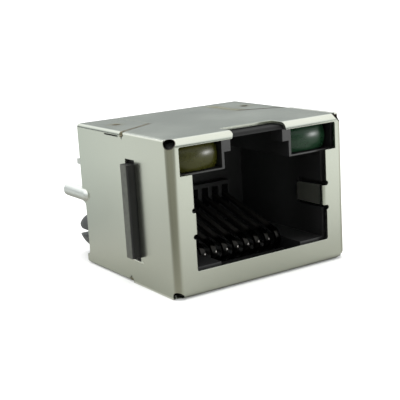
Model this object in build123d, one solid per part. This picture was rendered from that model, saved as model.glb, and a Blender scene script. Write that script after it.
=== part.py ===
from build123d import *
import os

# Vertical shielded board jack: eight spring contacts, two indicator lamps, folded sheet shield.
# Lengths in mm, angles in degrees. Depth counts back from the front plate's outer face, height up
# from the underside. The finished pieces move to the frame of the board seat on export.

# Plug cavity, the space that the mating plug fills
plug_side = 2.444
plug_height = 6.78
channel_front_width = 7.4
latch_width = 5.9
latch_gap = 4.74
latch_depth = 8.6
catch_height = 0.95
catch_depth = 1.3

# Housing walls round the cavity
floor_thickness = 1.7
side_wall = 1.6
back_wall = 0.5
shelf = 0.12
roof = 0.25
lamp_wall = 0.22
housing_edge = 0.4
standoff = 0.4
seat_proud = 0.15

# Shield sheet and its folds
sheet = 0.25
shield_fit = 0.05
front_gap = 0.2
shield_depth = 13.75
front_bend = 0.6
wing_bend = 0.3
seam = 0.12
wall_seam = 0.06
corner_hole = 0.8
corner_hole_axis = (1, -0.8, 1.2)
opening_lap = 0.09
sill_drop = 0.13
cut_corner = 0.15
lip_slant = 0.27
latch_notch_depth = 1.8

# Wings folded from the side walls over the top and under the bottom
wing_front = 6.6
wing_slope = 1.95
wing_width = 3.6
wing_relief = 0.64
wing_hole = 0.55
wing_hole_inset = 1.73
wing_hole_depth = 10.37
fold_slot_start = 0.5
fold_slot_length = 2.1
fold_slot_height = 0.1

# Ground springs at the sides of the opening
tab_width = 1.55
tab_tip_width = 1.42
tab_length = 2.75
tab_bend = 0.3
tab_lean = 3.0
tab_height = 5.36
tab_notch = 0.36
tab_play = 0.25

# Solder legs of the shield
leg_width = 1.15
leg_length = 2.75
leg_rise = -0.02
leg_proud = 0.3
leg_root = 1.1
leg_notch_height = 4.4
leg_notch_depth = 0.42
leg_notch_corner = 0.35
leg_tip_taper = 0.15

# Side rails of the housing and the shield slots that they pass through
rail_depth = 4.94
rail_thickness = 1.03
rail_height = 7.06
rail_reach = 0.65
rail_edge = 0.12
slot_front_gap = 0.05
slot_rear_gap = 0.25
slot_end_gap = 0.3

# Split pegs that locate the jack in the board
peg_diameter = 3.06
peg_length = 3.35
peg_nose = 1.5
peg_tip_diameter = 2.08
peg_nose_bulge = 0.06
peg_side_margin = 0.36
peg_base_margin = 0.23
slit_root = 0.62
slit_tip = 0.95
slit_start = 0.4

# Stand-off pads on the board side
seat_rib_height = 0.75
seat_rib_margin = 0.4
peg_pad_margin = 0.15
seat_bar_gap = 0.1
top_pad_width = 4.4
top_pad_height = 1.4

# Contacts, stamped strip with a hairpin bend at the front
contact_count = 8
contact_pitch = 1.016
contact_width = 0.45
contact_thickness = 0.3
contact_bend = 0.35
hairpin_depth = 3.9
hairpin_radius = 0.76
hairpin_rise = 0.67
spring_angle = 16.0
spring_tip_bend = 0.9
spring_tip_inset = 0.4
tail_row_height = 3.6
tail_row_gap = 2.54
tail_length = 3.2
riser_inset = 0.9

# Carrier that holds the contacts, and the comb that guides their free ends
carrier_block_depth = 1.95
carrier_block_height = 6.0
carrier_margin = 0.3
carrier_floor = 0.15
carrier_fit = 0.05
carrier_overhang = 0.25
contact_fit = 0.03
tongue_setback = 0.3
hairpin_room = 0.3
comb_depth = 0.9
comb_low = 1.4
comb_high = 3.55
comb_bar = 0.35
comb_play = 0.1

# Indicator lamps and their leads
lamp_width = 3.5
lamp_height = 1.82
lamp_length = 5.0
lamp_setback = 0.1
lamp_corner = 0.25
lamp_bulge = 0.3
lamp_round = 2.0
lamp_fit = 0.05
lamp_inner_gap = 0.12
lamp_headroom = 0.18
lamp_side_gap = 0.3
lead_size = 0.45
lead_pitch = 2.54
lead_drop = 2.0
lead_bend = 0.5
lead_length = 3.2
lead_socket = 1.0
lead_fit = 0.02
lead_play = 0.1

# Places that follow from the sizes above; the plug is as wide as its row of contacts and two sides
plug_width = (contact_count - 1) * contact_pitch + 2 * plug_side
skin = sheet + shield_fit
housing_front = skin + front_gap
plug_floor = skin + floor_thickness
plug_ceiling = plug_floor + plug_height
shelf_top = plug_ceiling + shelf
pocket_top = shelf_top + lamp_fit + lamp_height + lamp_headroom
housing_top = pocket_top + roof
shield_height = housing_top + skin
housing_half = plug_width / 2 + side_wall
shield_half = housing_half + skin
mid_height = shield_height / 2
seat_depth = shield_depth + seat_proud
body_rear = seat_depth - standoff
block_front = body_rear - carrier_block_depth
plug_depth = block_front - carrier_fit - back_wall
riser_depth = body_rear - riser_inset
opening_half = plug_width / 2 + opening_lap
sill = plug_floor - sill_drop
lamp_inner = latch_width / 2 + lamp_wall + lamp_inner_gap
lamp_offset = lamp_inner + lamp_width / 2
pocket_outer = lamp_offset + lamp_width / 2 + lamp_side_gap
lamp_middle = shelf_top + lamp_fit + lamp_height / 2
lamp_front = housing_front + lamp_setback
lamp_rear = lamp_front + lamp_length
hairpin_top = plug_floor + hairpin_rise
run_height = hairpin_top - contact_thickness / 2 - 2 * hairpin_radius
tongue_top = run_height + contact_thickness / 2
tongue_base = run_height - contact_thickness / 2 - carrier_floor
tongue_front = hairpin_depth + tongue_setback
carrier_half = (contact_count - 1) * contact_pitch / 2 + contact_width / 2 + carrier_margin
channel_half = carrier_half - carrier_overhang
channel_front = hairpin_depth - hairpin_radius - contact_thickness / 2 - hairpin_room
peg_offset = housing_half - peg_side_margin - peg_diameter / 2
peg_height = skin + peg_base_margin + peg_diameter / 2
leg_height = mid_height + leg_rise
to_frame = Location((0, -seat_depth, -mid_height))


def slab(x0, x1, y0, y1, z0, z1):
    """Rectangular block between two corners."""
    low = Location((min(x0, x1), y0, z0))
    return low * Box(abs(x1 - x0), y1 - y0, z1 - z0, align=(Align.MIN, Align.MIN, Align.MIN))


def run_back(outline, start, end):
    """Front view outline (x, height) extended from one depth to another."""
    return extrude(Plane.XZ.offset(-start) * outline, -(end - start))


def run_across(outline, x0, x1):
    """Side view outline (depth, height) extended between two x places."""
    return extrude(Plane.YZ.offset(x0) * outline, x1 - x0)


def run_up(outline, z0, z1):
    """Plan view outline (x, depth) extended between two heights."""
    return extrude(Plane.XY.offset(z0) * outline, z1 - z0)


def hole_back(x, z, diameter, start, end):
    """Round bar along the depth."""
    return run_back(Pos(x, z) * Circle(diameter / 2), start, end)


def both_sides(shape):
    """Shape and its mirror image on the other side of the middle plane."""
    return [shape, mirror(shape, about=Plane.YZ)]


def top_and_bottom(shape):
    """Shape and its mirror image about mid height."""
    return [shape, mirror(shape, about=Plane.XY.offset(mid_height))]


def four_corners(shape):
    """Shape on both sides, at the top and at the bottom."""
    return [copy for side in both_sides(shape) for copy in top_and_bottom(side)]


def shell_form(inset, corner):
    """Solid form of the shield, drawn in by inset, with square front corners and rounded wing folds."""
    half = shield_half - inset
    front = slab(-half, half, inset, wing_front, inset, shield_height - inset)
    front_edges = front.faces().sort_by(Axis.Y)[0].edges()
    front = fillet(front_edges, front_bend - inset)
    section = Pos(0, mid_height) * RectangleRounded(2 * half, shield_height - 2 * inset, corner)
    return front + run_back(section, wing_front, shield_depth)


def front_cutout():
    """Single opening in the front plate: plug, two lamp windows and the latch notch through the lip."""
    plug = Pos(0, (sill + shelf_top) / 2) * Rectangle(2 * opening_half, shelf_top - sill)
    windows = Pos(0, (shelf_top + pocket_top) / 2) * Rectangle(2 * pocket_outer, pocket_top - shelf_top)
    outline = plug + windows
    sill_corners = outline.vertices().group_by(Axis.Y)[0]
    window_corners = outline.vertices().group_by(Axis.Y)[-1]
    outline = fillet(sill_corners + window_corners, cut_corner)
    face_cut = run_back(outline, -sheet, housing_front)
    notch = Polygon(
        (-latch_gap / 2 - lip_slant, pocket_top - cut_corner),
        (latch_gap / 2, pocket_top - cut_corner),
        (latch_gap / 2, shield_height + sheet),
        (-latch_gap / 2, shield_height + sheet),
        (-latch_gap / 2, shield_height - sheet),
        align=None,
    )
    return [face_cut, run_back(notch, -sheet, latch_notch_depth)]


def wing_cuts():
    """Seams that part the wings and walls from the flaps, with their relief holes."""
    inner = shield_half - wing_width
    line = Polyline(
        (shield_half + seam, wing_front - seam),
        (inner, wing_front + wing_slope),
        (inner, shield_depth + sheet),
    )
    wing_seam = run_up(trace(line, seam), shield_height - 2 * sheet, shield_height + sheet)
    wall_cut = slab(
        shield_half - sheet - wall_seam, shield_half - sheet, front_bend / 2, wing_front,
        shield_height - 2 * sheet, shield_height + sheet,
    )
    relief = run_up(
        Pos(shield_half, wing_front) * Circle(wing_relief / 2),
        shield_height - wing_bend, shield_height + sheet,
    )
    hole = run_up(
        Pos(shield_half - wing_hole_inset, wing_hole_depth) * Circle(wing_hole / 2),
        shield_height - 2 * sheet, shield_height + sheet,
    )
    fold_start = wing_front + fold_slot_start
    fold_slot = slab(
        shield_half - sheet - seam, shield_half + sheet, fold_start, fold_start + fold_slot_length,
        shield_height - wing_bend - fold_slot_height, shield_height - wing_bend,
    )
    inside = (shield_half - front_bend, front_bend, shield_height - front_bend)
    corner = Plane(origin=inside, z_dir=corner_hole_axis) * Cylinder(
        corner_hole / 2, 3 * front_bend, align=(Align.CENTER, Align.CENTER, Align.MIN)
    )
    cuts = both_sides(fold_slot)
    for cutter in (wing_seam, wall_cut, relief, hole, corner):
        cuts += four_corners(cutter)
    return cuts


def ground_spring():
    """Right-hand ground spring, bent back from the edge of the opening along the cavity wall."""
    bend_radius = tab_bend - sheet / 2
    root = Line((opening_half + tab_bend, sheet / 2), (opening_half, sheet / 2))
    bend = JernArc(root @ 1, (-1, 0), bend_radius, -(90 - tab_lean))
    run = PolarLine(bend @ 1, tab_length, 90 + tab_lean)
    strip = trace(root + bend + run, sheet)
    blade = run_up(strip, tab_height - tab_width / 2, tab_height + tab_width / 2)
    tip = tab_bend + tab_length
    taper = Polygon(
        (0, tab_height - tab_width / 2),
        (tab_bend, tab_height - tab_width / 2),
        (tip, tab_height - tab_tip_width / 2),
        (tip, tab_height + tab_tip_width / 2),
        (tab_bend, tab_height + tab_width / 2),
        (0, tab_height + tab_width / 2),
        align=None,
    )
    return blade & run_across(taper, 0, shield_half)


def solder_leg():
    """Right-hand solder leg, a half tube, round side outwards, that runs out in a bead on the wall."""
    outer = leg_width / 2
    middle = shield_half - outer + leg_proud
    section = Circle(outer) - Circle(outer - sheet)
    section &= Pos(outer / 2, 0) * Rectangle(outer, leg_width)
    end = seat_depth + leg_length
    tube = run_back(Pos(middle, leg_height) * section, body_rear + shield_fit, end)
    root = shield_depth - leg_root + outer
    bead = Pos(middle, root, leg_height) * Sphere(outer)
    bead += hole_back(middle, leg_height, leg_width, root, shield_depth)
    bead &= slab(
        shield_half - sheet, shield_half + leg_width, shield_depth - leg_root, shield_depth,
        leg_height - outer, leg_height + outer,
    )
    tip = Polygon(
        (end - leg_width, leg_height + outer),
        (end + sheet, leg_height + outer),
        (end + sheet, leg_height + outer - leg_tip_taper),
        (end, leg_height + outer - leg_tip_taper),
        align=None,
    )
    cut = run_across(tip, middle - sheet, middle + leg_width)
    return tube - cut - mirror(cut, about=Plane.XY.offset(leg_height)) + bead


def make_shield():
    """Folded sheet shield with every cut-out, its ground springs and its solder legs."""
    shield = shell_form(0, wing_bend) - shell_form(sheet, wing_bend - sheet)
    shield -= slab(
        sheet - shield_half, shield_half - sheet, shield_depth - sheet, shield_depth + sheet,
        sheet, shield_height - sheet,
    )
    side_slot = slab(
        housing_half, shield_half + sheet,
        rail_depth - slot_front_gap, rail_depth + rail_thickness + slot_rear_gap,
        mid_height - rail_height / 2 - slot_end_gap, mid_height + rail_height / 2 + slot_end_gap,
    )
    notch_top = leg_height - leg_width / 2
    notch_outline = Pos(shield_depth, notch_top - leg_notch_height / 2) * Rectangle(
        2 * leg_notch_depth, leg_notch_height
    )
    notch_outline = fillet(notch_outline.vertices(), leg_notch_corner)
    leg_notch = run_across(notch_outline, housing_half, shield_half + sheet)
    notch_height = tab_width / 2 + tab_notch / 2
    tab_notches = [
        hole_back(opening_half, tab_height + side * notch_height, tab_notch, -sheet, housing_front)
        for side in (-1, 1)
    ]
    cuts = front_cutout() + wing_cuts()
    for cutter in [side_slot, leg_notch] + tab_notches:
        cuts += both_sides(cutter)
    shield -= cuts
    return shield + both_sides(ground_spring()) + both_sides(solder_leg())


def cavity_cut():
    """Plug cavity, contact channel and latch slot with its catch ledges."""
    half = plug_width / 2
    cavity = slab(-half, half, housing_front - roof, plug_depth, plug_floor, plug_ceiling)
    channel = slab(
        -channel_front_width / 2, channel_front_width / 2, housing_front - roof, channel_front + roof,
        tongue_top, plug_floor + roof,
    )
    channel += slab(-channel_half, channel_half, channel_front, plug_depth, tongue_top, plug_floor + roof)
    catch_base = pocket_top - catch_height
    wide = latch_width / 2
    lower_slot = slab(-wide, wide, housing_front - roof, latch_depth, plug_ceiling - shelf, catch_base)
    upper_slot = slab(-wide, wide, housing_front + catch_depth, latch_depth, catch_base, pocket_top)
    gap = latch_gap / 2
    lead_in = slab(-gap, gap, housing_front - roof, latch_depth, catch_base, pocket_top)
    return [cavity, channel, lower_slot, upper_slot, lead_in]


def carrier_form(margin):
    """Outer form of the contact carrier, tongue and rear block, grown by a margin for its pocket."""
    half = carrier_half + margin
    front = tongue_front - margin
    tongue = slab(-half, half, front, body_rear, tongue_base - margin, tongue_top)
    block = slab(
        -half, half, block_front - margin, body_rear,
        tongue_base - margin, tongue_base + carrier_block_height + margin,
    )
    return tongue + block


def carrier_pocket():
    """Room in the housing for the carrier and the hairpin bends in front of it."""
    half = carrier_half + carrier_fit
    hairpins = slab(-half, half, channel_front, tongue_front, tongue_base - carrier_fit, tongue_top)
    return carrier_form(carrier_fit) + hairpins


def contact_places():
    """Number, x place and tail height of each contact, with tails in two staggered rows."""
    first = -(contact_count - 1) * contact_pitch / 2
    for index in range(contact_count):
        row = tail_row_height + tail_row_gap * (index % 2)
        yield index + 1, first + index * contact_pitch, row


def contact_strip(row, x, margin):
    """One contact, from solder tail to free end, grown by a margin where a slot is cut for it."""
    tail = FilletPolyline(
        (seat_depth + tail_length, row),
        (riser_depth, row),
        (riser_depth, run_height),
        (hairpin_depth, run_height),
        radius=contact_bend,
    )
    hairpin = JernArc(tail @ 1, (-1, 0), hairpin_radius, -(180 - spring_angle))
    bend_run = spring_tip_bend * Vector(1, 0).rotate(Axis.Z, spring_angle).Y
    rise = hairpin @ 1
    reach = plug_depth - spring_tip_inset - bend_run - rise.X
    spring = PolarLine(rise, reach / (hairpin % 1).X, spring_angle)
    tip = JernArc(spring @ 1, hairpin % 1, spring_tip_bend, -spring_angle)
    outline = trace(tail + hairpin + spring + tip, contact_thickness + 2 * margin)
    half = contact_width / 2 + margin
    return run_across(outline, x - half, x + half)


def comb():
    """Ribbed comb on the back wall of the cavity, with one slot for each contact's free end."""
    front = plug_depth - comb_depth
    low = plug_floor + comb_low
    high = plug_floor + comb_high
    bar = slab(-carrier_half, carrier_half, front, plug_depth + back_wall / 2, low, high)
    half = contact_width / 2 + comb_play
    slots = [
        slab(x - half, x + half, front - comb_play, plug_depth, low - comb_play, high - comb_bar)
        for number, x, row in contact_places()
    ]
    return bar - slots


def lead_places():
    """X place of the inner and the outer lead of the right-hand lamp."""
    return {"inner": lamp_offset - lead_pitch / 2, "outer": lamp_offset + lead_pitch / 2}


def lead_wire(x, size, start, end):
    """Square lead from a lamp back to the board side, stepping down to its board hole."""
    path = FilletPolyline(
        (start, lamp_middle),
        (riser_depth, lamp_middle),
        (riser_depth, lamp_middle - lead_drop),
        (end, lamp_middle - lead_drop),
        radius=lead_bend,
    )
    return run_across(trace(path, size), x - size / 2, x + size / 2)


def lamp_cuts():
    """Right-hand lamp pocket and the channels for the two leads behind it."""
    pocket = slab(
        latch_width / 2 + lamp_wall, pocket_outer, housing_front - roof, lamp_rear + lamp_fit,
        shelf_top, pocket_top,
    )
    cuts = [pocket]
    width = lead_size / 2 + lead_play
    for x in lead_places().values():
        channel = slab(
            x - width, x + width, lamp_rear - lead_socket, seat_depth,
            lamp_middle - width, lamp_middle + width,
        )
        drop = slab(
            x - width, x + width, riser_depth - width, seat_depth,
            lamp_middle - lead_drop - width, lamp_middle + width,
        )
        cuts += [channel, drop]
    return cuts


def peg():
    """Right-hand split peg with a rounded nose and a slit that widens towards its tip."""
    end = seat_depth + peg_length
    shank_end = end - peg_nose
    radius = peg_diameter / 2
    tip = peg_tip_diameter / 2
    side = Polyline((0, end), (0, body_rear - standoff), (radius, body_rear - standoff), (radius, shank_end))
    nose = SagittaArc((radius, shank_end), (tip, end), -peg_nose_bulge)
    blunt = Line((tip, end), (0, end))
    body = Rot(0, 90, 0) * revolve(make_face(side + nose + blunt), Axis.Y)
    slit = Polygon(
        (seat_depth + slit_start, -slit_root / 2),
        (shank_end, -slit_root / 2),
        (end + sheet, -slit_tip / 2),
        (end + sheet, slit_tip / 2),
        (shank_end, slit_root / 2),
        (seat_depth + slit_start, slit_root / 2),
        align=None,
    )
    body -= run_across(slit, -radius, radius)
    return Pos(peg_offset, 0, peg_height) * body


def rail():
    """Right-hand rail that snaps through the shield's side slot."""
    root = housing_half - side_wall / 2
    reach = shield_half + rail_reach
    rear = rail_depth + rail_thickness
    outline = Polygon(
        (root, rail_depth),
        (reach - rail_edge, rail_depth),
        (reach, rail_depth + rail_edge),
        (reach, rear - rail_edge),
        (reach - rail_edge, rear),
        (root, rear),
        align=None,
    )
    return run_up(outline, mid_height - rail_height / 2, mid_height + rail_height / 2)


def seat_pads():
    """Stand-off rib and pads that meet the board."""
    rib_base = tongue_base + carrier_block_height + carrier_fit
    half = housing_half - seat_rib_margin
    rib = slab(-half, half, body_rear - standoff, seat_depth, rib_base, rib_base + seat_rib_height)
    pad = peg_diameter / 2 + peg_pad_margin
    peg_pads = both_sides(
        slab(
            peg_offset - peg_diameter / 2, peg_offset + peg_diameter / 2, body_rear - standoff, seat_depth,
            peg_height - peg_diameter / 2, peg_height + pad,
        )
    )
    top = slab(
        -top_pad_width / 2, top_pad_width / 2, body_rear - standoff, seat_depth,
        pocket_top - top_pad_height, pocket_top,
    )
    return [rib, top] + peg_pads


def make_housing():
    """Black moulding with cavity, comb, lamp pockets, rails, pads and pegs."""
    block = slab(-housing_half, housing_half, housing_front, body_rear, skin, housing_top)
    long_edges = block.edges().filter_by(Axis.Y)
    block = fillet(long_edges + block.faces().sort_by(Axis.Y)[0].edges(), housing_edge)
    housing = block + seat_pads()
    housing -= cavity_cut()
    housing -= carrier_pocket()
    housing += comb()
    tab_recess = slab(
        plug_width / 2 - tab_play, opening_half + tab_play,
        housing_front - roof, tab_bend + tab_length + tab_play,
        tab_height - tab_width / 2 - tab_play, tab_height + tab_width / 2 + tab_play,
    )
    for cutter in [tab_recess] + lamp_cuts():
        housing -= both_sides(cutter)
    return housing + both_sides(rail()) + both_sides(peg())


def make_carrier():
    """Moulded carrier with a slot for each contact and a stand-off bar between the rows of tails."""
    tail_room = contact_thickness / 2 + contact_fit + seat_bar_gap
    carrier = carrier_form(0) + slab(
        carrier_margin - carrier_half, carrier_half - carrier_margin, body_rear, seat_depth,
        tail_row_height + tail_room, tail_row_height + tail_row_gap - tail_room,
    )
    slots = [contact_strip(row, x, contact_fit) for number, x, row in contact_places()]
    return carrier - slots


def make_lamp():
    """Right-hand lamp, oblong epoxy body with a front rounded both ways and sockets for its leads."""
    outline = Pos(lamp_offset, lamp_middle) * RectangleRounded(lamp_width, lamp_height, lamp_corner)
    lamp = run_back(outline, lamp_front, lamp_rear)
    crown = ((lamp_width / 2) ** 2 + lamp_bulge ** 2) / (2 * lamp_bulge)
    lens = Torus(crown - lamp_round, lamp_round) + Cylinder(crown - lamp_round, 2 * lamp_round)
    lamp &= Pos(lamp_offset, lamp_front + crown, lamp_middle) * lens
    for x in lead_places().values():
        size = lead_size + 2 * lead_fit
        lamp -= lead_wire(x, size, lamp_rear - lead_socket, seat_depth)
    return lamp


def save(shape, node):
    """Write one piece, moved to the frame of the board seat."""
    export_step(shape.moved(to_frame), os.path.join("parts", node + ".step"))


os.makedirs("parts", exist_ok=True)
save(make_shield(), "shield")
save(make_housing(), "housing")
save(make_carrier(), "contact_carrier")
for number, x, row in contact_places():
    save(contact_strip(row, x, 0), f"contact_{number}")
lamp = make_lamp()
save(lamp, "led_right")
save(mirror(lamp, about=Plane.YZ), "led_left")
for name, x in lead_places().items():
    lead = lead_wire(x, lead_size, lamp_rear - lead_socket + lead_fit, seat_depth + lead_length)
    save(lead, f"led_right_lead_{name}")
    save(mirror(lead, about=Plane.YZ), f"led_left_lead_{name}")
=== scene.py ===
import math

import bmesh
import bpy
from mathutils import Matrix, Vector


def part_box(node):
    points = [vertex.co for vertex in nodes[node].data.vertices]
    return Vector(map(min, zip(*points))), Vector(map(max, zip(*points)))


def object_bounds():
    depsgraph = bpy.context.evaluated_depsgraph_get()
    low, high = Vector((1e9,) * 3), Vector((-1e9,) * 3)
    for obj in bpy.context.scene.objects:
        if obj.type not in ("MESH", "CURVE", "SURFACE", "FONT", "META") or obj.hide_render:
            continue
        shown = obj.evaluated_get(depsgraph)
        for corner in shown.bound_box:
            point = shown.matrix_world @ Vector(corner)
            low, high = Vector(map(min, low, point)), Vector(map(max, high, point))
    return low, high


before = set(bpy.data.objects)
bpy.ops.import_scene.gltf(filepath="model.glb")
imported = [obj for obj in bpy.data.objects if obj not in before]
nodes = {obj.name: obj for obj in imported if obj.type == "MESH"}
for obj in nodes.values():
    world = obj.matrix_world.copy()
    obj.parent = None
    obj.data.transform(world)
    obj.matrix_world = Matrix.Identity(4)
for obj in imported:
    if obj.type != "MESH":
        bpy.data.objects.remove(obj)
cad_low, cad_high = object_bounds()

# Housing: one black moulded block of glass-filled polyester that fills the can.
# It carries the plug cavity, both lamp pockets, the side rails and the split pegs,
# and is pressed into the shield from behind.


def new_finish(name):
    """An empty node material, with its shader and its node tree."""
    finish = bpy.data.materials.new(name)
    finish.use_nodes = True
    shader = finish.node_tree.nodes["Principled BSDF"]
    return finish, shader, finish.node_tree


def pattern_place(tree, stretch=(1.0, 1.0, 1.0)):
    """Object coordinates in metres, stretched for one pattern."""
    place = tree.nodes.new("ShaderNodeTexCoord")
    mapping = tree.nodes.new("ShaderNodeMapping")
    mapping.inputs["Scale"].default_value = stretch
    tree.links.new(place.outputs["Object"], mapping.inputs["Vector"])
    return mapping.outputs["Vector"]


def cloud(tree, place, scale, detail=3.0):
    """A soft noise field over the surface, from 0 to 1."""
    noise = tree.nodes.new("ShaderNodeTexNoise")
    noise.inputs["Scale"].default_value = scale
    noise.inputs["Detail"].default_value = detail
    noise.inputs["Roughness"].default_value = 0.55
    tree.links.new(place, noise.inputs["Vector"])
    return noise.outputs["Fac"]


def spread(tree, field, low, high, start=0.3, end=0.7):
    """The field mapped to the numbers from low to high."""
    span = tree.nodes.new("ShaderNodeMapRange")
    span.inputs["From Min"].default_value = start
    span.inputs["From Max"].default_value = end
    span.inputs["To Min"].default_value = low
    span.inputs["To Max"].default_value = high
    tree.links.new(field, span.inputs["Value"])
    return span.outputs["Result"]


def two_tone(tree, field, dark, light, start=0.35, end=0.65):
    """Two close colours of one material, mixed by the field."""
    ramp = tree.nodes.new("ShaderNodeValToRGB")
    ramp.color_ramp.elements[0].position = start
    ramp.color_ramp.elements[0].color = (*dark, 1.0)
    ramp.color_ramp.elements[1].position = end
    ramp.color_ramp.elements[1].color = (*light, 1.0)
    tree.links.new(field, ramp.inputs["Fac"])
    return ramp.outputs["Color"]


def along(tree, axis, start, end, mirrored=True):
    """A soft step along one axis of the piece, 0 at start and 1 at end, in metres.

    A mirrored step is the same on both sides of the middle.
    """
    split = tree.nodes.new("ShaderNodeSeparateXYZ")
    tree.links.new(pattern_place(tree), split.inputs["Vector"])
    reach = split.outputs[axis]
    if mirrored:
        size = tree.nodes.new("ShaderNodeMath")
        size.operation = "ABSOLUTE"
        tree.links.new(reach, size.inputs[0])
        reach = size.outputs["Value"]
    step = spread(tree, reach, 0.0, 1.0, start, end)
    step.node.interpolation_type = "SMOOTHSTEP"
    return step


def tinted(tree, field, ground, tint, mode="MIX"):
    """The ground colour, taken to a tint where the field holds."""
    blend = tree.nodes.new("ShaderNodeMix")
    blend.data_type = "RGBA"
    blend.blend_type = mode
    blend.inputs["B"].default_value = (*tint, 1.0)
    tree.links.new(field, blend.inputs["Factor"])
    tree.links.new(ground, blend.inputs["A"])
    return blend.outputs["Result"]


def taken_to(tree, field, ground, value):
    """The ground number, taken to a value where the field holds."""
    blend = tree.nodes.new("ShaderNodeMix")
    blend.inputs["B"].default_value = value
    tree.links.new(field, blend.inputs["Factor"])
    tree.links.new(ground, blend.inputs["A"])
    return blend.outputs["Result"]


def where_all(tree, *fields):
    """Where all of the fields hold."""
    result = fields[0]
    for field in fields[1:]:
        product = tree.nodes.new("ShaderNodeMath")
        product.operation = "MULTIPLY"
        tree.links.new(result, product.inputs[0])
        tree.links.new(field, product.inputs[1])
        result = product.outputs["Value"]
    return result


def coat(tree, shader, colour, gloss):
    """Gives a finish its colour field and its roughness field."""
    tree.links.new(colour, shader.inputs["Base Color"])
    tree.links.new(gloss, shader.inputs["Roughness"])


def fine_relief(tree, field, shader, strength, height, edge):
    """A shallow bump over rounded edges, height and edge radius in metres."""
    rounded = tree.nodes.new("ShaderNodeBevel")
    rounded.samples = 12
    rounded.inputs["Radius"].default_value = edge
    bump = tree.nodes.new("ShaderNodeBump")
    bump.inputs["Strength"].default_value = strength
    bump.inputs["Distance"].default_value = height
    tree.links.new(field, bump.inputs["Height"])
    tree.links.new(rounded.outputs["Normal"], bump.inputs["Normal"])
    tree.links.new(bump.outputs["Normal"], shader.inputs["Normal"])


def smoothing_nodes(crease):
    """Modifier nodes that shade a mesh smooth and keep edges past the crease sharp."""
    group = bpy.data.node_groups.new("smooth_curves", "GeometryNodeTree")
    for side in ("INPUT", "OUTPUT"):
        group.interface.new_socket("Geometry", in_out=side, socket_type="NodeSocketGeometry")
    source = group.nodes.new("NodeGroupInput")
    faces = group.nodes.new("GeometryNodeSetShadeSmooth")
    edges = group.nodes.new("GeometryNodeSetShadeSmooth")
    edges.domain = "EDGE"
    edges.inputs["Shade Smooth"].default_value = False
    angle = group.nodes.new("GeometryNodeInputMeshEdgeAngle")
    steep = group.nodes.new("FunctionNodeCompare")
    steep.operation = "GREATER_THAN"
    steep.inputs[1].default_value = math.radians(crease)
    result = group.nodes.new("NodeGroupOutput")
    group.links.new(source.outputs["Geometry"], faces.inputs["Geometry"])
    group.links.new(faces.outputs["Geometry"], edges.inputs["Geometry"])
    group.links.new(angle.outputs["Unsigned Angle"], steep.inputs[0])
    group.links.new(steep.outputs["Result"], edges.inputs["Selection"])
    group.links.new(edges.outputs["Geometry"], result.inputs["Geometry"])
    return group


smooth_curves = smoothing_nodes(crease=30.0)
join_gap = 0.000001
sharp_angle = math.radians(40.0)


def dress(name, finish, edge=0.0):
    """Gives a CAD node its finish, shades its curves smooth and may round its edges."""
    piece = nodes[name]
    piece.data.materials.clear()
    piece.data.materials.append(finish)
    weld = piece.modifiers.new("join", "WELD")
    weld.merge_threshold = join_gap
    if edge > 0.0:
        rounded = piece.modifiers.new("edge", "BEVEL")
        rounded.width = edge
        rounded.segments = 2
        rounded.limit_method = "ANGLE"
        rounded.angle_limit = sharp_angle
    shade = piece.modifiers.new("smooth", "NODES")
    shade.node_group = smooth_curves
    even = piece.modifiers.new("even", "WEIGHTED_NORMAL")
    even.keep_sharp = True


housing_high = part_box("housing")[1]
matt_top = (housing_high.z - 0.0004, housing_high.z - 0.0001)
rail_face = (housing_high.x - 0.00005, housing_high.x - 0.00001)
cavity_side = (0.0068, 0.0062)
cavity_mouth = (-0.0132, -0.0118)
cavity_depth = (-0.0112, -0.0080)
cavity_rear = (-0.0018, -0.0022)
peg_root = (-0.0001, 0.0004)
mould_edge = 0.00004
grain_height = 0.00001

moulded_black, shader, tree = new_finish("moulded_black")
place = pattern_place(tree)
flow = cloud(tree, place, scale=260.0)
grain = cloud(tree, place, scale=5200.0, detail=2.0)
matt_shaded_top = along(tree, "Z", *matt_top)
cavity = where_all(
    tree,
    along(tree, "X", *cavity_side),
    along(tree, "Y", *cavity_mouth, mirrored=False),
)
cavity_back_painted_light = where_all(
    tree,
    cavity,
    along(tree, "Y", *cavity_depth, mirrored=False),
    along(tree, "Y", *cavity_rear, mirrored=False),
)
rail_face_sheen = where_all(
    tree,
    along(tree, "X", *rail_face),
    spread(tree, cloud(tree, place, scale=2400.0), low=0.55, high=1.0),
)
pegs = along(tree, "Y", *peg_root, mirrored=False)
resin = two_tone(tree, flow, (0.0075, 0.0076, 0.0080), (0.0125, 0.0126, 0.0130))
# Painted shade: the top strip seen through the shield's notch is painted darker for the
# shade under the sheet edge; the same strip is also made matt.
resin = tinted(tree, matt_shaded_top, resin, (0.003, 0.003, 0.003))
resin = tinted(tree, cavity, resin, (0.0080, 0.0081, 0.0083))
# Painted light: the back of the plug cavity is painted lighter grey for the faint light that
# reaches into it.
resin = tinted(tree, cavity_back_painted_light, resin, (0.021, 0.022, 0.022))
# Painted sheen: the rails' outer faces are painted a patchy lighter grey for the light they
# catch.
resin = tinted(tree, rail_face_sheen, resin, (0.088, 0.092, 0.076))
resin = tinted(tree, pegs, resin, (0.045, 0.047, 0.046))
gloss = spread(tree, flow, low=0.40, high=0.52)
coat(tree, shader, resin, taken_to(tree, matt_shaded_top, gloss, 0.95))
fine_relief(tree, grain, shader, 0.25, grain_height, mould_edge)
dress("housing", moulded_black)

# Contact carrier: a second black moulding, pushed into the back of the housing.
# It holds the eight contacts in their slots and guides their tails to the board;
# its tongue under the springs is painted lighter grey, painted light for the faint light
# that reaches it.

tongue_start = (-0.0030, -0.0045)

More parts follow.
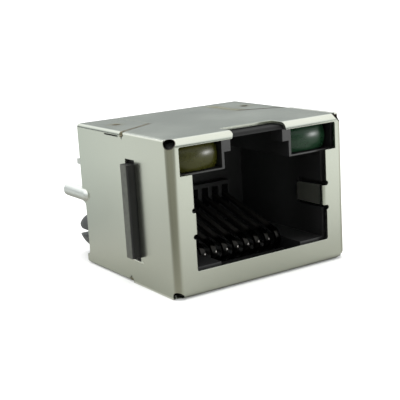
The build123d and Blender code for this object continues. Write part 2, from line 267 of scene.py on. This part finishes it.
carrier_black, shader, tree = new_finish("carrier_black")
place = pattern_place(tree)
flow = cloud(tree, place, scale=340.0)
grain = cloud(tree, place, scale=4600.0, detail=2.0)
tongue_painted_light = along(tree, "Y", *tongue_start, mirrored=False)
resin = two_tone(tree, flow, (0.0085, 0.0085, 0.0088), (0.0140, 0.0139, 0.0140))
# Painted light: the tongue under the springs is lighter grey for the light that reaches it.
resin = tinted(tree, tongue_painted_light, resin, (0.060, 0.061, 0.061))
coat(tree, shader, resin, spread(tree, flow, low=0.45, high=0.58))
fine_relief(tree, grain, shader, 0.25, grain_height, mould_edge)
dress("contact_carrier", carrier_black)

# Contacts: eight flat springs of phosphor bronze, dark and glossy at the hairpin bend,
# duller along the run and tinned at the tail. The near-black colour at the bend is painted
# shade and the lighter colour along the run is painted light, both for the light inside the
# cavity. Each is a stamped strip, bent once and pressed into the carrier.

contact_count = 8
contact_edge = 0.00005
run_start = (-0.0101, -0.0094)
tail_start = (-0.0019, -0.0013)

contact_plating, shader, tree = new_finish("contact_plating")
place = pattern_place(tree, stretch=(1.0, 0.15, 1.0))
drawn = cloud(tree, place, scale=1500.0, detail=2.0)
dull_run_painted_light = along(tree, "Y", *run_start, mirrored=False)
tail_tin = along(tree, "Y", *tail_start, mirrored=False)
# Painted shade at the bend (near-black metal) and painted light along the run (lighter
# colour); the tail is real tin.
alloy = two_tone(tree, drawn, (0.014, 0.0135, 0.0125), (0.020, 0.0193, 0.018))
alloy = tinted(tree, dull_run_painted_light, alloy, (0.060, 0.058, 0.054))
alloy = tinted(tree, tail_tin, alloy, (0.62, 0.61, 0.57))
gloss = spread(tree, drawn, low=0.16, high=0.24)
gloss = taken_to(tree, dull_run_painted_light, gloss, 0.60)
gloss = taken_to(tree, tail_tin, gloss, 0.22)
coat(tree, shader, alloy, gloss)
shader.inputs["Metallic"].default_value = 1.0
for number in range(1, contact_count + 1):
    dress(f"contact_{number}", contact_plating, contact_edge)

# Lamps: two rectangular light emitting diodes cast in tinted diffusing epoxy.
# The left one is yellow and the right one green; both are off. Each slides into
# its pocket in the housing from behind.

lamp_tints = {
    "left": ("yellow_epoxy", (0.036, 0.036, 0.004), (0.046, 0.046, 0.007)),
    "right": ("green_epoxy", (0.006, 0.028, 0.011), (0.010, 0.036, 0.016)),
}
for side, (name, dark, light) in lamp_tints.items():
    epoxy, shader, tree = new_finish(name)
    place = pattern_place(tree)
    milk = cloud(tree, place, scale=700.0, detail=2.0)
    ripple = cloud(tree, place, scale=2500.0, detail=2.0)
    gloss = spread(tree, milk, low=0.25, high=0.31)
    coat(tree, shader, two_tone(tree, milk, dark, light), gloss)
    shader.inputs["IOR"].default_value = 1.53
    shader.inputs["Specular IOR Level"].default_value = 0.18
    shader.inputs["Transmission Weight"].default_value = 0.25
    fine_relief(tree, ripple, shader, 0.15, grain_height, mould_edge)
    dress(f"led_{side}", epoxy)

# Lamp leads: two square tinned steel wires a lamp, cast into the epoxy.
# They run back through the housing and bend down to the board.

tinned_wire, shader, tree = new_finish("tinned_wire")
tin = cloud(tree, pattern_place(tree), scale=1800.0)
wire_tone = two_tone(tree, tin, (0.60, 0.60, 0.58), (0.74, 0.74, 0.71))
coat(tree, shader, wire_tone, spread(tree, tin, low=0.26, high=0.40))
shader.inputs["Metallic"].default_value = 1.0
for side in lamp_tints:
    for lead in ("inner", "outer"):
        dress(f"led_{side}_lead_{lead}", tinned_wire)

# Shield: a can folded from one piece of nickel plated brass sheet, 0.25 mm thick.
# Its wings close over the top with a slanted seam; ground springs are folded back
# into the mouth, and a solder leg stands out of each side at the rear.


def either(tree, first, second):
    """Where one field or the other holds."""
    larger = tree.nodes.new("ShaderNodeMath")
    larger.operation = "MAXIMUM"
    tree.links.new(first, larger.inputs[0])
    tree.links.new(second, larger.inputs[1])
    return larger.outputs["Value"]


def vector_step(tree, operation, field, vector=None):
    """One vector operation on a field of places, with a fixed second vector."""
    step = tree.nodes.new("ShaderNodeVectorMath")
    step.operation = operation
    tree.links.new(field, step.inputs[0])
    if vector is not None:
        step.inputs[1].default_value = vector
    return step


def corner_offset(tree, centre):
    """The way from a centre, with the four corners of the can laid on one."""
    folded = vector_step(tree, "ABSOLUTE", pattern_place(tree)).outputs["Vector"]
    return vector_step(tree, "SUBTRACT", folded, centre).outputs["Vector"]


def round_axis(tree, centre, axis, inner, outer):
    """Full within a distance of an axis, fading out to the outer distance."""
    offset = corner_offset(tree, centre)
    arm = vector_step(tree, "CROSS_PRODUCT", offset, Vector(axis).normalized())
    distance = vector_step(tree, "LENGTH", arm.outputs["Vector"]).outputs["Value"]
    return spread(tree, distance, 1.0, 0.0, inner, outer)


def beside_seam(tree, start, end, inner, outer):
    """Full along a seam on the top and bottom, fading out to the outer distance."""
    run = Vector(end) - Vector(start)
    side = Vector((-run.y, run.x, 0.0)).normalized()
    offset = corner_offset(tree, start)
    across = vector_step(tree, "DOT_PRODUCT", offset, side).outputs["Value"]
    width = tree.nodes.new("ShaderNodeMath")
    width.operation = "ABSOLUTE"
    tree.links.new(across, width.inputs[0])
    passed = vector_step(tree, "DOT_PRODUCT", offset, run.normalized()).outputs["Value"]
    near = spread(tree, width.outputs["Value"], 1.0, 0.0, inner, outer)
    begun = spread(tree, passed, 0.0, 1.0, -outer, 0.0)
    unended = spread(tree, passed, 1.0, 0.0, run.length, run.length + outer)
    return where_all(tree, near, begun, unended)


shield_low, shield_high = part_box("shield")
shield_front = -shield_low.y
shield_top = shield_high.z
leg_proud = 0.0003
wall_face = shield_high.x - leg_proud
fold = 0.0006
tight_fold = 0.45 * fold
side_bend = (wall_face - fold, wall_face - tight_fold)
front_bend = (shield_front - fold, shield_front - tight_fold)
top_skin = (shield_top - 0.0004, shield_top - 0.0003)
wall_sheet = (wall_face - 0.00028, wall_face - 0.00025)

seam_reach = wall_face - 0.0036
wing_edge = (wall_face, 0.0073, 0.0)
wing_corner = (seam_reach, 0.00535, 0.0)
wing_end = (seam_reach, 0.0014, 0.0)
wing_hole = (wall_face - 0.00173, 0.00353, 0.0)
upright = (0.0, 0.0, 1.0)
seam_stain = (0.0003, 0.0009)
hole_stain = (0.0003, 0.0010)
seam_line = (0.00013, 0.00026)
hole_line = (0.00030, 0.00040)
right_half = (0.0, 0.001)
left_half = (0.001, 0.0)

corner_hole = (wall_face - fold, shield_front - fold, shield_top - fold)
corner_axis = (1.0, 0.8, 1.2)
corner_rim = (0.00041, 0.00047)
upper_half = (-0.001, 0.001)

rim_height = (shield_top - 0.00015, shield_top - 0.00008)
rim_front = (-0.0072, -0.0075)
slot_top = (-0.00376, -0.00378)
slot_bottom = (-0.00392, -0.00388)
slot_front = (-0.0094, -0.0092)
slot_rear = (-0.0073, -0.0075)

leg_start = (-0.00012, 0.0001)
bead_start = (-0.0022, -0.0014)
bead_face = (wall_face, wall_face + 0.0001)
leg_underside = (0.0001, -0.0004)

spring_side = (0.0071, 0.0069)
spring_height = (0.0033, 0.0030)
spring_front = (-0.0136, -0.0133)

shield_plating, shader, tree = new_finish("shield_plating")
place = pattern_place(tree)
rolling = pattern_place(tree, stretch=(1.0, 0.06, 1.0))
rolled = cloud(tree, rolling, scale=2600.0, detail=2.0)
bloom = cloud(tree, place, scale=150.0, detail=4.0)
blotch = spread(tree, cloud(tree, place, scale=900.0), 0.2, 1.0, 0.35, 0.65)

bend_painted_shade = where_all(tree, along(tree, "X", *side_bend), along(tree, "Y", *front_bend))
skin = along(tree, "Z", *top_skin)
flux_run = either(
    tree,
    where_all(
        tree,
        beside_seam(tree, wing_corner, wing_end, *seam_stain),
        along(tree, "X", *right_half, mirrored=False),
    ),
    round_axis(tree, wing_hole, upright, *hole_stain),
)
flux = where_all(tree, skin, blotch, flux_run)
bare_edge = either(
    tree,
    where_all(tree, skin, beside_seam(tree, wing_edge, wing_corner, *seam_line)),
    round_axis(tree, wing_hole, upright, *hole_line),
)
dulled_edge = where_all(tree, bare_edge, along(tree, "X", *left_half, mirrored=False))
relief_hole_painted_shade = where_all(
    tree,
    round_axis(tree, corner_hole, corner_axis, *corner_rim),
    along(tree, "Z", *upper_half, mirrored=False),
)
wall_rim_highlight = where_all(
    tree,
    along(tree, "X", *wall_sheet),
    along(tree, "Z", *rim_height),
    along(tree, "Y", *rim_front, mirrored=False),
)
slot_rim_highlight = where_all(
    tree,
    along(tree, "X", *wall_sheet),
    along(tree, "Z", *slot_top, mirrored=False),
    along(tree, "Z", *slot_bottom, mirrored=False),
    along(tree, "Y", *slot_front, mirrored=False),
    along(tree, "Y", *slot_rear, mirrored=False),
)
soldered = either(
    tree,
    along(tree, "Y", *leg_start, mirrored=False),
    where_all(
        tree,
        along(tree, "Y", *bead_start, mirrored=False),
        along(tree, "X", *bead_face),
    ),
)
leg_underside_painted_shade = where_all(tree, soldered, along(tree, "Z", *leg_underside, mirrored=False))
ground_spring = where_all(
    tree,
    along(tree, "X", *spring_side),
    along(tree, "Z", *spring_height),
    along(tree, "Y", *spring_front, mirrored=False),
)

plating = two_tone(tree, bloom, (0.535, 0.555, 0.490), (0.575, 0.595, 0.530), 0.3, 0.7)
# Painted shade: the vertical side and front bends are painted darker for the dark reflection
# they show.
plating = tinted(tree, bend_painted_shade, plating, (0.36, 0.36, 0.29))
plating = tinted(tree, flux, plating, (0.47, 0.44, 0.27))
plating = tinted(tree, bare_edge, plating, (0.08, 0.065, 0.04))
plating = tinted(tree, dulled_edge, plating, (0.30, 0.27, 0.19))
# Painted shade: the plating round the upper corner relief holes is painted dark for the
# shade in them.
plating = tinted(tree, relief_hole_painted_shade, plating, (0.04, 0.030, 0.025))
# Painted highlight: the bare cut edges along the wall tops and round the rail slots are
# painted near white, brighter than bare metal, for the light they catch.
plating = tinted(tree, either(tree, wall_rim_highlight, slot_rim_highlight), plating, (0.94, 0.95, 0.88))
plating = tinted(tree, soldered, plating, (0.83, 0.85, 0.83))
# Painted shade: the underside of each solder leg is painted darker.
plating = tinted(tree, leg_underside_painted_shade, plating, (0.50, 0.49, 0.45))
gloss = spread(tree, bloom, low=0.20, high=0.26)
gloss = taken_to(tree, either(tree, soldered, slot_rim_highlight), gloss, 0.45)
gloss = taken_to(tree, ground_spring, gloss, 0.40)
coat(tree, shader, plating, gloss)
shader.inputs["Metallic"].default_value = 1.0
fine_relief(tree, rolled, shader, strength=0.02, height=0.000004, edge=0.00006)
dress("shield", shield_plating)

# Floor: a plain pale sheet that the jack stands on, with nothing else on it.
# Reflections don't see it, because the table card of the next section stands in for it.


def flat_sheet(name, gap):
    """A wide level sheet a gap below the jack."""
    mesh = bpy.data.meshes.new(name)
    sheet = bmesh.new()
    bmesh.ops.create_grid(sheet, x_segments=1, y_segments=1, size=8.0)
    bmesh.ops.translate(sheet, verts=sheet.verts, vec=(0.0, 0.0, cad_low.z - gap))
    sheet.to_mesh(mesh)
    sheet.free()
    ground = bpy.data.objects.new(name, mesh)
    bpy.context.scene.collection.objects.link(ground)
    return ground


floor = flat_sheet("floor", gap=0.00002)
floor.visible_glossy = False
floor_white, shader, tree = new_finish("floor_white")
fibre = cloud(tree, pattern_place(tree), scale=4.0)
paper = two_tone(tree, fibre, (0.79, 0.79, 0.79), (0.81, 0.81, 0.81))
tree.links.new(paper, shader.inputs["Base Color"])
shader.inputs["Roughness"].default_value = 0.9
shader.inputs["Specular IOR Level"].default_value = 0.1
shader.inputs["Emission Color"].default_value = (1.0, 1.0, 1.0, 1.0)
shader.inputs["Emission Strength"].default_value = 0.15
floor.data.materials.append(floor_white)

# Table card: what the plating mirrors in place of the white floor, a grey sheet of the
# same size. It is darker round the jack, on the camera's side and behind the jack, painted
# shade for the jack's shadow and the shade on those sides, and a little lighter close to the
# jack's foot and in front, painted light.

card_middle = (0.0, -0.007, cad_low.z)
camera_side = (-0.86, -0.50, 0.0)
left_side = (-0.91, -0.42, 0.0)
far_reach = (0.010, 0.055)
foot_reach = (0.011, 0.018)
camera_reach = (0.0135, 0.030)
left_reach = (0.006, 0.017)
front_start = (-0.015, -0.027)
rear_start = (0.0, 0.015)

card = flat_sheet("table_card", gap=0.00001)
card.visible_camera = False
card.visible_diffuse = False
card.visible_shadow = False
card.visible_transmission = False
card_grey, shader, tree = new_finish("card_grey")
place = pattern_place(tree)
away = vector_step(tree, "DISTANCE", place, card_middle).outputs["Value"]
toward = vector_step(tree, "DOT_PRODUCT", place, camera_side).outputs["Value"]
leftward = vector_step(tree, "DOT_PRODUCT", place, left_side).outputs["Value"]
far = spread(tree, away, 0.0, 1.0, *far_reach)
foot = spread(tree, away, 1.0, 0.0, *foot_reach)
at_camera = spread(tree, toward, 0.0, 1.0, *camera_reach)
before = along(tree, "Y", *front_start, mirrored=False)
behind = where_all(
    tree,
    spread(tree, leftward, 1.0, 0.0, *left_reach),
    along(tree, "Y", *rear_start, mirrored=False),
)
grey = two_tone(tree, far, (0.38, 0.38, 0.36), (0.625, 0.635, 0.615), 0.0, 1.0)
grey = tinted(tree, foot, grey, (0.455, 0.455, 0.425))
grey = tinted(tree, at_camera, grey, (0.45, 0.45, 0.42), "MULTIPLY")
grey = tinted(tree, before, grey, (1.13, 1.13, 1.13), "MULTIPLY")
grey = tinted(tree, behind, grey, (0.66, 0.70, 0.71), "MULTIPLY")
tree.links.new(grey, shader.inputs["Base Color"])
shader.inputs["Roughness"].default_value = 1.0
shader.inputs["Specular IOR Level"].default_value = 0.0
card.data.materials.append(card_grey)

# Light: a soft white dome, brightest overhead, and a wide soft fill from above. One small
# soft panel at the front right puts the glints on the lamps and the contacts; it leaves
# the shield alone, whose cut edges would glare.

glint_place = Vector((0.264, -0.250, 0.024))
glint_aim = Vector((0.0, -0.012, 0.0))
glint_light = bpy.data.lights.new("glint", "AREA")
glint_light.shape = "RECTANGLE"
glint_light.size = 0.08
glint_light.size_y = 0.05
glint_light.energy = 0.48
glint = bpy.data.objects.new("glint", glint_light)
glint.location = glint_place
glint.rotation_euler = (glint_aim - glint_place).to_track_quat("-Z", "Y").to_euler()
bpy.context.scene.collection.objects.link(glint)
glint_pieces = bpy.data.collections.new("glint_pieces")
for name, piece in nodes.items():
    if name != "shield":
        glint_pieces.objects.link(piece)
glint.light_linking.receiver_collection = glint_pieces

fill_light = bpy.data.lights.new("fill", "SUN")
fill_light.energy = 1.4
fill_light.angle = math.radians(70.0)
fill = bpy.data.objects.new("fill", fill_light)
fill.visible_glossy = False
bpy.context.scene.collection.objects.link(fill)

horizon_light, horizon_tint = 0.27, (0.98, 1.05, 1.05)
overhead_light, overhead_tint = 1.45, (1.0, 1.0, 0.985)
dome_rise = (0.12, 0.52)
tint_rise = (0.25, 0.60)
backdrop_light = 1.2
room = bpy.data.worlds.new("room")
room.use_nodes = True
tree = room.node_tree
background = tree.nodes["Background"]
sky = tree.nodes.new("ShaderNodeTexCoord")
split = tree.nodes.new("ShaderNodeSeparateXYZ")
tree.links.new(sky.outputs["Generated"], split.inputs["Vector"])
height = split.outputs["Z"]
dome = spread(tree, height, horizon_light, overhead_light, *dome_rise)
dome.node.interpolation_type = "SMOOTHSTEP"
seen = tree.nodes.new("ShaderNodeLightPath").outputs["Is Camera Ray"]
tree.links.new(taken_to(tree, seen, dome, backdrop_light), background.inputs["Strength"])
tone = two_tone(tree, height, horizon_tint, overhead_tint, *tint_rise)
tree.links.new(tone, background.inputs["Color"])
bpy.context.scene.world = room
bpy.context.scene.view_settings.view_transform = "Standard"

# Camera: the photograph's own place, low and from the front left, with the box edges
# of the jack where the photograph has them.

camera_place = (-0.041220, -0.068856, 0.016174)
camera_right = Vector((0.830221, -0.554415, -0.057940))
camera_up = Vector((0.170450, 0.153525, 0.973333))
camera_back = camera_right.cross(camera_up)
camera_data = bpy.data.cameras.new("camera")
camera_data.sensor_width = 36.0
camera_data.lens = 86.09
camera_data.clip_start = 0.001
camera_data.clip_end = 10.0
camera = bpy.data.objects.new("camera", camera_data)
turn = Matrix((camera_right, camera_up, camera_back)).transposed()
camera.matrix_world = Matrix.Translation(camera_place) @ turn.to_4x4()
bpy.context.scene.collection.objects.link(camera)
bpy.context.scene.camera = camera
